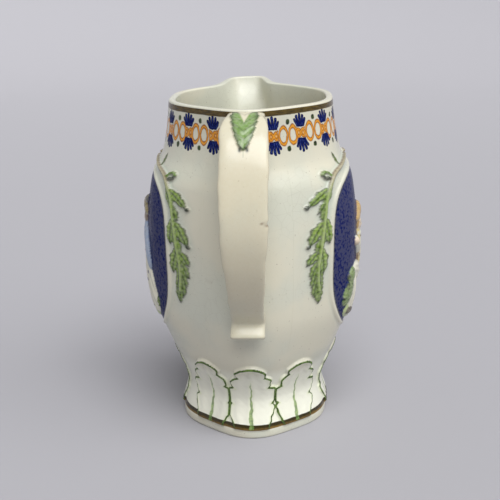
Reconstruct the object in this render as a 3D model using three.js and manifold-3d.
// A moulded and painted pearlware jug: one fired piece with a hollow six-sided body,
// a pouring lip, a strap handle, a leaf-moulded foot and an oval relief on each side.
// Millimetres, +Z up, the lip towards +Y and the handle towards -Y.
import * as THREE from 'three';
import { mergeVertices } from 'three/addons/utils/BufferGeometryUtils.js';
import Module from 'manifold-3d';

const wasm = await Module();
wasm.setup();

// Heights of the named levels of the body, above the table.
const RIM_HEIGHT = 170;
const NECK_HEIGHT = 156;
const COLLAR_HEIGHT = 143;
const SHOULDER_HEIGHT = 130;
const BELLY_HEIGHT = 103;
const HIP_HEIGHT = 66;
const BOWL_HEIGHT = 45;
const WAIST_HEIGHT = 21;
const PLINTH_HEIGHT = 4.5;

// Half of the body's width, from side to side, at each level.
const RIM_HALF_WIDTH = 41.3;
const NECK_HALF_WIDTH = 42.9;
const COLLAR_HALF_WIDTH = 45.6;
const SHOULDER_HALF_WIDTH = 51.4;
const BELLY_HALF_WIDTH = 53.9;
const HIP_HALF_WIDTH = 51.8;
const BOWL_HALF_WIDTH = 44.9;
const WAIST_HALF_WIDTH = 35.2;
const FOOT_HALF_WIDTH = 38.6;

// Half of the body's depth, from the handle's ridge to the lip's ridge, at each level.
const RIM_HALF_DEPTH = 50.8;
const NECK_HALF_DEPTH = 50.2;
const COLLAR_HALF_DEPTH = 51.4;
const SHOULDER_HALF_DEPTH = 56.2;
const BELLY_HALF_DEPTH = 58.6;
const HIP_HALF_DEPTH = 56.4;
const BOWL_HALF_DEPTH = 50.4;
const WAIST_HALF_DEPTH = 40.6;
const FOOT_HALF_DEPTH = 45.3;

// The six ridges: one at the handle, one at the lip and four beside the side faces.
const RIDGE_ANGLE = 0.35;
const FACE_FLATNESS = 0.062;
const SIDE_FLATNESS = 0.015;

// Wall, floor and foot ring.
const WALL = 3.5;
const RIM_EDGE = 1;
const FLOOR_HEIGHT = 9;
const FOOT_RING_WIDTH = 6.5;
const RECESS_DEPTH = 2.5;

// Pouring lip, drawn out of the back ridge by hand and a little off its centre.
const LIP_START_HEIGHT = 132;
const LIP_REACH = 14;
const LIP_RISE = 2;
const LIP_HALF_WIDTH = 13.4;
const LIP_OFFSET = -5.8;
const LIP_CURVE = 1.7;
const LIP_SQUARENESS = 9;
const BACK_RISE = 0.8;

// Strap handle: a flat strip from the rim down to a squared, kicked-out end.
const HANDLE_REACH = 81.5;
const HANDLE_CREST_HEIGHT = 122;
const HANDLE_THICKNESS = 5.6;
const HANDLE_ROOT_WIDTH = 15;
const HANDLE_WIDTH = 22.5;
const HANDLE_END_WIDTH = 16.5;
const HANDLE_END_HEIGHT = 61.5;
const HANDLE_JOIN_HEIGHT = 68.8;
const HANDLE_KICK = 5;
const HANDLE_FULL_SHARE = 0.13;
const HANDLE_NARROWING_SHARE = 0.4;
const HANDLE_NARROW_SHARE = 0.85;
const HANDLE_SQUARENESS = 0.4;
const HANDLE_STEPS = 22;

// Leaf on the top of the handle.
const SPRIG_LENGTH = 22.5;
const SPRIG_HALF_WIDTH = 7;
const SPRIG_HEIGHT = 0.7;
const SPRIG_TEETH = 4;
const SPRIG_TOOTH_SHARE = 0.16;
const SPRIG_TAPER = 0.6;
const SPRIG_BELLY = 1.7;
const SPRIG_TIP_HALF_WIDTH = 0.3;

// Eight leaves round the foot.
const FOOT_LEAF_TIP_HEIGHT = 38.5;
const FOOT_LEAF_HALF_WIDTH = 12.6;
const FOOT_LEAF_RELIEF = 1.1;
const FOOT_LEAF_CURL = 1.3;
const FOOT_LEAF_EDGE = 0.6;
const FOOT_LEAF_TIP_HALF_WIDTH = 3;
const FACE_LEAF_ANGLE = 0.87;

// How much of its height a raised leaf keeps at its edges.
const LEAF_EDGE_SHARE = 0.8;
const SPRIG_EDGE_SHARE = 0.6;

// Oval relief on each side face. A fullness of 2 is an ellipse, and more is squarer.
const OVAL_HEIGHT = 93;
const OVAL_HALF_HEIGHT = 41;
const OVAL_HALF_WIDTH = 35.2;
const OVAL_FULLNESS = 2.6;
const OVAL_BEAD = 1.1;
const FIGURE_RELIEF = 3;

// Leafy garland down each edge of each oval.
const GARLAND_GAP = 4.7;
const GARLAND_TOP_HEIGHT = 141;
const GARLAND_END_HEIGHT = 68;
const GARLAND_STEM = 1;
const GARLAND_LEAF_RELIEF = 1.6;
const GARLAND_LEAF_LENGTH = 11;
const GARLAND_LEAF_WIDTH = 3.4;
const GARLAND_LEAF_PAIRS = 6;
const GARLAND_FIRST_PAIR = 0.7;
const GARLAND_LEAF_STAGGER = 0.2;
const GARLAND_LEAF_SPREAD = 0.38;

// How far raised forms reach into the wall.
const SINK = 1.1;

// Nothing raised on a side face goes past this share of the body's depth.
const MOST_ALONG = 0.95;

const levels = [
  { height: 0, width: FOOT_HALF_WIDTH, depth: FOOT_HALF_DEPTH },
  { height: PLINTH_HEIGHT, width: FOOT_HALF_WIDTH, depth: FOOT_HALF_DEPTH },
  { height: WAIST_HEIGHT, width: WAIST_HALF_WIDTH, depth: WAIST_HALF_DEPTH },
  { height: BOWL_HEIGHT, width: BOWL_HALF_WIDTH, depth: BOWL_HALF_DEPTH },
  { height: HIP_HEIGHT, width: HIP_HALF_WIDTH, depth: HIP_HALF_DEPTH },
  { height: BELLY_HEIGHT, width: BELLY_HALF_WIDTH, depth: BELLY_HALF_DEPTH },
  { height: SHOULDER_HEIGHT, width: SHOULDER_HALF_WIDTH, depth: SHOULDER_HALF_DEPTH },
  { height: COLLAR_HEIGHT, width: COLLAR_HALF_WIDTH, depth: COLLAR_HALF_DEPTH },
  { height: NECK_HEIGHT, width: NECK_HALF_WIDTH, depth: NECK_HALF_DEPTH },
  { height: RIM_HEIGHT, width: RIM_HALF_WIDTH, depth: RIM_HALF_DEPTH },
];

// Slope of one measure at one level, from the levels on either side of it.
function slopeAt(index, key) {
  const below = levels[Math.max(index - 1, 0)];
  const above = levels[Math.min(index + 1, levels.length - 1)];
  return (above[key] - below[key]) / (above.height - below.height);
}

// A measure of the body at any height, on one smooth curve through the levels.
function measureAt(key, height) {
  let index = 0;
  while (index < levels.length - 2 && height > levels[index + 1].height) index += 1;
  const low = levels[index];
  const high = levels[index + 1];
  const span = high.height - low.height;
  const t = THREE.MathUtils.clamp((height - low.height) / span, 0, 1);
  const startSlope = slopeAt(index, key) * span;
  const endSlope = slopeAt(index + 1, key) * span;
  const fromLow = (2 * t ** 3 - 3 * t ** 2 + 1) * low[key] + (t ** 3 - 2 * t ** 2 + t) * startSlope;
  const fromHigh = (3 * t ** 2 - 2 * t ** 3) * high[key] + (t ** 3 - t ** 2) * endSlope;
  return fromLow + fromHigh;
}

// How full the plan is in a direction: 1 on a ridge and less on the faces between.
function planAt(angle) {
  const folded = Math.asin(Math.min(1, Math.abs(Math.sin(angle))));
  if (folded < RIDGE_ANGLE) {
    return 1 - SIDE_FLATNESS * (1 + Math.cos(Math.PI * folded / RIDGE_ANGLE)) / 2;
  }
  const across = (folded - RIDGE_ANGLE) / (Math.PI / 2 - RIDGE_ANGLE);
  return 1 - FACE_FLATNESS * (1 - Math.cos(2 * Math.PI * across)) / 2;
}

// A point of the body in a direction and at a height, moved inwards by an inset.
function wallPoint(angle, height, inset = 0) {
  const plan = planAt(angle);
  const x = (measureAt('width', height) - inset) / (1 - SIDE_FLATNESS) * plan * Math.cos(angle);
  const depth = measureAt('depth', height) - inset;
  let y = depth * plan * Math.sin(angle);
  let z = height;
  if (height > LIP_START_HEIGHT) {
    const pull = ((height - LIP_START_HEIGHT) / (RIM_HEIGHT - LIP_START_HEIGHT)) ** LIP_CURVE;
    const back = Math.max(0, Math.sin(angle)) ** 2;
    const aside = Math.abs(x - LIP_OFFSET * pull) / (LIP_HALF_WIDTH - inset);
    const lip = back / (1 + aside ** LIP_SQUARENESS);
    y += (LIP_REACH + depth - y) * pull * lip;
    z += pull * (BACK_RISE * back + LIP_RISE * lip);
  }
  return new THREE.Vector3(x, y, z);
}

// A point that stands out from the body's wall along the wall's own normal.
function raisedPoint(angle, height, out) {
  const step = 0.01;
  const point = wallPoint(angle, height);
  const around = wallPoint(angle + step, height).sub(point);
  const up = wallPoint(angle, height + step).sub(point);
  return point.addScaledVector(around.cross(up).normalize(), out);
}

// The direction whose point on a side face lies a given way along it (+ is to the right).
function angleAlong(along, height) {
  let angle = 0;
  for (let pass = 0; pass < 6; pass += 1) {
    const sine = along / (measureAt('depth', height) * planAt(angle));
    angle = Math.asin(THREE.MathUtils.clamp(sine, -MOST_ALONG, MOST_ALONG));
  }
  return angle;
}

// Bends a flat shape (right, up, out) on to one of the two side faces.
function wrapOnSide(geometry, turn) {
  const place = geometry.attributes.position;
  for (let i = 0; i < place.count; i += 1) {
    const angle = angleAlong(place.getX(i), place.getY(i)) + turn;
    const point = raisedPoint(angle, place.getY(i), place.getZ(i));
    place.setXYZ(i, point.x, point.y, point.z);
  }
  return geometry;
}

// A closed skin over rings of points. The first and last rings close on their centres,
// or on each other when the rings go round in a loop.
function skinOver(rings, isLoop = false) {
  const positions = [];
  const faces = [];
  const around = rings[0].length;
  for (const ring of rings) {
    for (const point of ring) positions.push(point.x, point.y, point.z);
  }
  const lastRow = isLoop ? rings.length : rings.length - 1;
  for (let row = 0; row < lastRow; row += 1) {
    const next = (row + 1) % rings.length;
    for (let step = 0; step < around; step += 1) {
      const beside = (step + 1) % around;
      const a = row * around + step;
      const b = row * around + beside;
      const c = next * around + beside;
      const d = next * around + step;
      faces.push(a, b, c, a, c, d);
    }
  }
  if (!isLoop) {
    closeEnd(positions, faces, rings[0], 0, true);
    closeEnd(positions, faces, rings[rings.length - 1], (rings.length - 1) * around, false);
  }
  const geometry = new THREE.BufferGeometry();
  geometry.setAttribute('position', new THREE.Float32BufferAttribute(positions, 3));
  geometry.setIndex(faces);
  return geometry;
}

// A fan of faces from the centre of an end ring.
function closeEnd(positions, faces, ring, first, isStart) {
  const centre = new THREE.Vector3();
  for (const point of ring) centre.addScaledVector(point, 1 / ring.length);
  const centreIndex = positions.length / 3;
  positions.push(centre.x, centre.y, centre.z);
  for (let step = 0; step < ring.length; step += 1) {
    const here = first + step;
    const beside = first + (step + 1) % ring.length;
    if (isStart) faces.push(centreIndex, beside, here);
    else faces.push(centreIndex, here, beside);
  }
}

// Rings of an oblong section carried along a path. Each stop has a place, its outward
// direction and the half width and half height of the section there.
function sweepRings(stops, sides, squareness, isLoop = false) {
  return stops.map((stop, index) => {
    const before = stops[isLoop ? (index + stops.length - 1) % stops.length : Math.max(index - 1, 0)];
    const after = stops[isLoop ? (index + 1) % stops.length : Math.min(index + 1, stops.length - 1)];
    const forward = after.place.clone().sub(before.place).normalize();
    const aside = forward.clone().cross(stop.outward).normalize();
    const ring = [];
    for (let side = 0; side < sides; side += 1) {
      const turn = 2 * Math.PI * (side + 0.5) / sides;
      const across = Math.sign(Math.sin(turn)) * Math.abs(Math.sin(turn)) ** squareness;
      const outwards = Math.sign(Math.cos(turn)) * Math.abs(Math.cos(turn)) ** squareness;
      const point = stop.place.clone();
      point.addScaledVector(aside, stop.halfWidth * across);
      point.addScaledVector(stop.outward, stop.halfHeight * outwards);
      ring.push(point);
    }
    return ring;
  });
}

// A solid from a closed geometry, with doubled corners merged and empty faces dropped.
function solidOf(geometry) {
  geometry.deleteAttribute('normal');
  geometry.deleteAttribute('uv');
  const merged = mergeVertices(geometry, 1e-3);
  const corners = merged.index.array;
  const kept = [];
  for (let i = 0; i < corners.length; i += 3) {
    const [a, b, c] = [corners[i], corners[i + 1], corners[i + 2]];
    if (a !== b && b !== c && c !== a) kept.push(a, b, c);
  }
  const vertProperties = new Float32Array(merged.attributes.position.array);
  const triVerts = new Uint32Array(kept);
  return new wasm.Manifold(new wasm.Mesh({ numProp: 3, vertProperties, triVerts }));
}

// Evenly spaced values from one end to the other, both included.
function spread(from, to, count) {
  return Array.from({ length: count + 1 }, (_, i) => from + (to - from) * i / count);
}

// Half width of a foot leaf a share of the way up it: a narrow base, two side lobes
// and a round tip.
function footLeafHalfWidth(share) {
  const lobes = [
    { from: -0.25, to: 0.32, inner: 0.48, outer: 0.84 },
    { from: 0.32, to: 0.77, inner: 0.74, outer: 1 },
    { from: 0.66, to: 1, inner: 0.45, outer: 0.7 },
  ];
  const lobe = lobes.find((each) => share <= each.to) ?? lobes[lobes.length - 1];
  const across = THREE.MathUtils.clamp((share - lobe.from) / (lobe.to - lobe.from), 0, 1);
  const bulge = Math.max(0, Math.sin(Math.PI * across)) ** 0.6;
  const isTip = lobe.to === 1 && across > 0.5;
  const inner = isTip ? 0 : lobe.inner;
  return FOOT_LEAF_HALF_WIDTH * (inner + (lobe.outer - inner) * bulge);
}

// The directions of the middles of the foot's leaves, in order round the body.
function footLeafMiddles() {
  const right = [-Math.PI / 2, -FACE_LEAF_ANGLE, 0, FACE_LEAF_ANGLE];
  return [...right, ...right.map((angle) => angle + Math.PI)];
}

// Six columns of the skin for each foot leaf: its edges, its middle and the gap beside it.
function leafColumns(height) {
  const share = (height - PLINTH_HEIGHT) / (FOOT_LEAF_TIP_HEIGHT - PLINTH_HEIGHT);
  const isOnLeaf = share >= 0 && share <= 1;
  const relief = isOnLeaf ? FOOT_LEAF_RELIEF + FOOT_LEAF_CURL * share ** 4 : 0;
  const half = Math.max(footLeafHalfWidth(THREE.MathUtils.clamp(share, 0, 1)), FOOT_LEAF_TIP_HALF_WIDTH);
  const middles = footLeafMiddles();
  return middles.flatMap((middle, leaf) => {
    const next = leaf === middles.length - 1 ? middles[0] + 2 * Math.PI : middles[leaf + 1];
    const turn = 0.1;
    const perRadian = wallPoint(middle + turn, height).distanceTo(wallPoint(middle, height)) / turn;
    const edge = half / perRadian;
    const foot = (half + FOOT_LEAF_EDGE) / perRadian;
    return [
      { angle: middle - foot, out: 0 },
      { angle: middle - edge, out: relief * LEAF_EDGE_SHARE },
      { angle: middle, out: relief },
      { angle: middle + edge, out: relief * LEAF_EDGE_SHARE },
      { angle: middle + foot, out: 0 },
      { angle: (middle + next) / 2, out: 0 },
    ];
  });
}

// The skin's columns at a height: they follow the leaves below and are even above them.
function columnsAt(height) {
  const onLeaves = leafColumns(height);
  const evenStep = 2 * Math.PI / onLeaves.length;
  const blend = THREE.MathUtils.smoothstep(height, FOOT_LEAF_TIP_HEIGHT, BOWL_HEIGHT + PLINTH_HEIGHT);
  return onLeaves.map(({ angle, out }, column) => {
    const even = -Math.PI / 2 + (column - 2) * evenStep;
    return { angle: THREE.MathUtils.lerp(angle, even, blend), out };
  });
}

// The hollow body: underside, outer wall, rim, inner wall and floor in one skin.
function makeBody() {
  const outer = (height) => columnsAt(height).map(({ angle, out }) => raisedPoint(angle, height, out));
  const inner = (height, inset) => columnsAt(RIM_HEIGHT).map(({ angle }) => wallPoint(angle, height, inset));
  const under = (inset, lift) => columnsAt(0).map(({ angle }) => wallPoint(angle, 0, inset).setZ(lift));
  const shoulderOfRim = RIM_HEIGHT - RIM_EDGE;
  const leafShares = [0, 0.12, 0.24, 0.32, 0.4, 0.54, 0.68, 0.77, 0.84, 0.93, 1];
  const leafTop = FOOT_LEAF_TIP_HEIGHT;
  const leafHeights = leafShares.map((share) => THREE.MathUtils.lerp(PLINTH_HEIGHT, leafTop, share));
  const outerHeights = [
    0,
    PLINTH_HEIGHT - FOOT_LEAF_EDGE / 2,
    ...leafHeights,
    FOOT_LEAF_TIP_HEIGHT + FOOT_LEAF_EDGE / 2,
    ...spread(BOWL_HEIGHT, BELLY_HEIGHT, 5),
    ...spread(BELLY_HEIGHT, SHOULDER_HEIGHT, 2).slice(1),
    ...spread(SHOULDER_HEIGHT, shoulderOfRim, 6).slice(1),
  ];
  const innerHeights = [
    ...spread(shoulderOfRim, SHOULDER_HEIGHT, 2),
    ...spread(SHOULDER_HEIGHT, BOWL_HEIGHT, 3).slice(1),
    ...spread(BOWL_HEIGHT, WAIST_HEIGHT, 2).slice(1),
    FLOOR_HEIGHT,
  ];
  return solidOf(skinOver([
    under(FOOT_RING_WIDTH + RIM_EDGE, RECESS_DEPTH),
    under(FOOT_RING_WIDTH, 0),
    ...outerHeights.map(outer),
    inner(RIM_HEIGHT, RIM_EDGE),
    inner(RIM_HEIGHT, WALL - RIM_EDGE),
    ...innerHeights.map((height) => inner(height, WALL)),
  ]));
}

// The middle line of the strap, as distance from the axis and height.
function handleLine() {
  const rootReach = RIM_HALF_DEPTH - WALL / 2;
  const rootHeight = RIM_HEIGHT - RIM_EDGE - HANDLE_THICKNESS / 2;
  const joinReach = measureAt('depth', HANDLE_JOIN_HEIGHT) + HANDLE_THICKNESS / 2 - SINK;
  const endReach = measureAt('depth', HANDLE_END_HEIGHT) + HANDLE_THICKNESS / 2 - SINK;
  const out = (share) => THREE.MathUtils.lerp(rootReach, HANDLE_REACH, share);
  const back = (share) => THREE.MathUtils.lerp(endReach, HANDLE_REACH, share);
  const above = (share) => THREE.MathUtils.lerp(HANDLE_CREST_HEIGHT, rootHeight, share);
  const below = (share) => THREE.MathUtils.lerp(HANDLE_CREST_HEIGHT, HANDLE_END_HEIGHT, share);
  const places = [
    [rootReach, rootHeight],
    [out(0.28), above(0.975)],
    [out(0.58), above(0.81)],
    [out(0.83), above(0.5)],
    [HANDLE_REACH, HANDLE_CREST_HEIGHT],
    [back(0.9), below(0.3)],
    [back(0.6), below(0.56)],
    [back(0.24), below(0.75)],
    [joinReach, HANDLE_JOIN_HEIGHT],
    [endReach + HANDLE_KICK, HANDLE_END_HEIGHT],
  ];
  return new THREE.CatmullRomCurve3(places.map(([reach, height]) => new THREE.Vector3(0, -reach, height)));
}

// Half width of the strap a share of the way from the rim to its lower end.
function handleHalfWidth(share) {
  const opening = THREE.MathUtils.smoothstep(share, 0, HANDLE_FULL_SHARE);
  const closing = THREE.MathUtils.smoothstep(share, HANDLE_NARROWING_SHARE, HANDLE_NARROW_SHARE);
  const full = THREE.MathUtils.lerp(HANDLE_ROOT_WIDTH, HANDLE_WIDTH, opening);
  return THREE.MathUtils.lerp(full, HANDLE_END_WIDTH, closing) / 2;
}

// Outward direction of the strap a share of the way along it.
function handleOutward(line, share) {
  const forward = line.getTangentAt(share);
  return new THREE.Vector3(0, forward.z, -forward.y);
}

function makeHandle() {
  const line = handleLine();
  const stops = spread(0, 1, HANDLE_STEPS).map((share) => ({
    place: line.getPointAt(share),
    outward: handleOutward(line, share),
    halfWidth: handleHalfWidth(share),
    halfHeight: HANDLE_THICKNESS / 2,
  }));
  return solidOf(skinOver(sweepRings(stops, 8, HANDLE_SQUARENESS)));
}

// The toothed leaf that lies over the top of the strap.
function makeSprig() {
  const line = handleLine();
  const length = line.getLength();
  const start = HANDLE_THICKNESS / length;
  const rings = spread(0, 1, SPRIG_TEETH * 3).map((share) => {
    const along = start + share * SPRIG_LENGTH / length;
    const tooth = 1 - SPRIG_TOOTH_SHARE * ((share * SPRIG_TEETH) % 1);
    const taper = (1 - share ** SPRIG_BELLY) ** SPRIG_TAPER;
    const half = Math.max(SPRIG_TIP_HALF_WIDTH, SPRIG_HALF_WIDTH * taper * tooth);
    const outward = handleOutward(line, along);
    const top = line.getPointAt(along).addScaledVector(outward, HANDLE_THICKNESS / 2);
    const aside = new THREE.Vector3(1, 0, 0);
    const corner = (across, out) => top.clone().addScaledVector(aside, across).addScaledVector(outward, out);
    return [
      corner(half, SPRIG_HEIGHT * SPRIG_EDGE_SHARE),
      corner(0, SPRIG_HEIGHT),
      corner(-half, SPRIG_HEIGHT * SPRIG_EDGE_SHARE),
      corner(-half, -SINK),
      corner(half, -SINK),
    ];
  });
  return solidOf(skinOver(rings));
}

// A place on the edge of an oval relief, in (right, up). A turn of 0 is its top.
function ovalEdge(turn) {
  const full = (value) => Math.sign(value) * Math.abs(value) ** (2 / OVAL_FULLNESS);
  const right = OVAL_HALF_WIDTH * full(Math.sin(turn));
  return new THREE.Vector3(right, OVAL_HEIGHT + OVAL_HALF_HEIGHT * full(Math.cos(turn)), 0);
}

// The raised bead round an oval relief, in (right, up, out).
function ovalBead() {
  const outward = new THREE.Vector3(0, 0, 1);
  const stops = spread(0, -2 * Math.PI, 28).slice(0, -1).map((turn) => ({
    place: ovalEdge(turn),
    outward,
    halfWidth: OVAL_BEAD,
    halfHeight: OVAL_BEAD,
  }));
  return skinOver(sweepRings(stops, 4, 1, true), true);
}

// One rounded form of a figure: an egg laid on the wall, in (right, up, out).
// Its place and its length are shares of the oval's half width and half height.
function figureForm({ right, up, long, wide, lean = 0, relief = 1 }) {
  const egg = new THREE.SphereGeometry(1, 8, 5);
  egg.rotateX(Math.PI / 2);
  egg.scale(wide * OVAL_HALF_WIDTH, long * OVAL_HALF_WIDTH, 1);
  const place = egg.attributes.position;
  for (let i = 0; i < place.count; i += 1) {
    const out = place.getZ(i);
    place.setZ(i, out * (out > 0 ? FIGURE_RELIEF * relief : SINK));
  }
  egg.rotateZ(-lean);
  egg.translate(right * OVAL_HALF_WIDTH, OVAL_HEIGHT + up * OVAL_HALF_HEIGHT, 0);
  return egg;
}

// A figure in a long gown who holds out a hand to a child.
const gownedFigures = {
  ground: { right: 0, up: -0.76, long: 0.2, wide: 0.6, relief: 0.7 },
  gown: { right: 0.24, up: -0.36, long: 0.66, wide: 0.34, lean: -0.08, relief: 0.95 },
  train: { right: 0.48, up: -0.48, long: 0.38, wide: 0.2, lean: -0.25, relief: 0.75 },
  bodice: { right: 0.18, up: 0.12, long: 0.34, wide: 0.22, relief: 1 },
  head: { right: 0.12, up: 0.38, long: 0.175, wide: 0.15, relief: 1 },
  hat: { right: 0.15, up: 0.49, long: 0.12, wide: 0.28, lean: 0.15, relief: 0.9 },
  arm: { right: -0.12, up: 0.06, long: 0.34, wide: 0.1, lean: 1.1, relief: 0.85 },
  smock: { right: -0.42, up: -0.44, long: 0.4, wide: 0.25, relief: 0.85 },
  childhead: { right: -0.44, up: -0.07, long: 0.16, wide: 0.14, relief: 0.9 },
};

// A seated youth in a broad hat, with a bush at the knee and grass below.
const seatedFigures = {
  ground: { right: -0.05, up: -0.76, long: 0.2, wide: 0.62, relief: 0.7 },
  bank: { right: 0.26, up: -0.46, long: 0.34, wide: 0.36, relief: 0.75 },
  coat: { right: 0.04, up: -0.08, long: 0.44, wide: 0.27, lean: 0.1, relief: 1 },
  thigh: { right: -0.18, up: -0.34, long: 0.38, wide: 0.15, lean: -1.2, relief: 0.95 },
  shin: { right: -0.46, up: -0.56, long: 0.32, wide: 0.12, lean: 0.12, relief: 0.85 },
  head: { right: 0.02, up: 0.27, long: 0.175, wide: 0.16, relief: 1 },
  hat: { right: 0.02, up: 0.37, long: 0.12, wide: 0.3, lean: -0.12, relief: 0.9 },
  arm: { right: -0.18, up: -0.02, long: 0.34, wide: 0.1, lean: -0.9, relief: 0.9 },
  bush: { right: -0.62, up: -0.5, long: 0.22, wide: 0.15, lean: 0.35, relief: 0.8 },
  bushtop: { right: -0.58, up: -0.3, long: 0.14, wide: 0.13, relief: 0.85 },
};

// The middle line of a garland, in (right, up), on the right of an oval.
function garlandLine() {
  const clear = OVAL_HALF_WIDTH + GARLAND_GAP + OVAL_BEAD;
  const down = (share) => THREE.MathUtils.lerp(GARLAND_TOP_HEIGHT, GARLAND_END_HEIGHT, share);
  const places = [
    [0.1, 0],
    [0.42, 0.02],
    [0.68, 0.06],
    [0.86, 0.13],
    [0.94, 0.24],
    [0.98, 0.4],
    [1.01, 0.6],
    [1.02, 0.8],
    [1, 1],
  ];
  const points = places.map(([right, fall]) => new THREE.Vector3(clear * right, down(fall), 0));
  return new THREE.CatmullRomCurve3(points);
}

// Stem and paired leaves of one garland. A hand of -1 makes the one on the left.
function garlandForms(hand) {
  const line = garlandLine();
  const mirrored = (point) => new THREE.Vector3(point.x * hand, point.y, 0);
  const outward = new THREE.Vector3(0, 0, 1);
  const stops = spread(0, 1, 10).map((share) => ({
    place: mirrored(line.getPointAt(share)),
    outward,
    halfWidth: GARLAND_STEM,
    halfHeight: GARLAND_STEM,
  }));
  const forms = [skinOver(sweepRings(stops, 4, 1))];
  for (let pair = 0; pair < GARLAND_LEAF_PAIRS; pair += 1) {
    for (const side of [-1, 1]) {
      const step = pair + GARLAND_FIRST_PAIR + side * GARLAND_LEAF_STAGGER;
      const share = Math.min(step / GARLAND_LEAF_PAIRS, 1);
      const point = mirrored(line.getPointAt(share));
      const forward = line.getTangentAt(share);
      const heading = Math.atan2(forward.y, forward.x * hand) + side * GARLAND_LEAF_SPREAD;
      const leaf = new THREE.OctahedronGeometry(1);
      leaf.scale(GARLAND_LEAF_LENGTH / 2, GARLAND_LEAF_WIDTH / 2, GARLAND_LEAF_RELIEF);
      leaf.translate(GARLAND_LEAF_LENGTH / 2 - GARLAND_STEM, 0, 0);
      leaf.rotateZ(heading);
      leaf.translate(point.x, point.y, 0);
      forms.push(leaf);
    }
  }
  return forms;
}

// Everything raised on one side face.
function makeSideRelief(figures, turn) {
  const eggs = Object.values(figures).map(figureForm);
  const forms = [ovalBead(), ...eggs, ...garlandForms(1), ...garlandForms(-1)];
  return forms.map((form) => solidOf(wrapOnSide(form, turn)));
}

function makeJug() {
  const raised = [
    makeHandle(),
    makeSprig(),
    ...makeSideRelief(seatedFigures, 0),
    ...makeSideRelief(gownedFigures, Math.PI),
  ];
  const solid = wasm.Manifold.union([makeBody(), ...raised]);
  const { vertProperties, triVerts } = solid.getMesh();
  const geometry = new THREE.BufferGeometry();
  geometry.setAttribute('position', new THREE.BufferAttribute(new Float32Array(vertProperties), 3));
  geometry.setIndex(new THREE.BufferAttribute(new Uint32Array(triVerts), 1));
  geometry.computeVertexNormals();
  return geometry;
}

const pearlware = new THREE.MeshStandardMaterial({ color: 0xe6e4d4, roughness: 0.22, metalness: 0 });
const jug = new THREE.Mesh(makeJug(), pearlware);
jug.name = 'jug';

// The origin is on the table, midway between the handle's back and the lip's tip.
jug.geometry.computeBoundingBox();
const box = jug.geometry.boundingBox;
jug.position.y = -(box.min.y + box.max.y) / 2;

const model = new THREE.Group();
model.add(jug);
export default model;
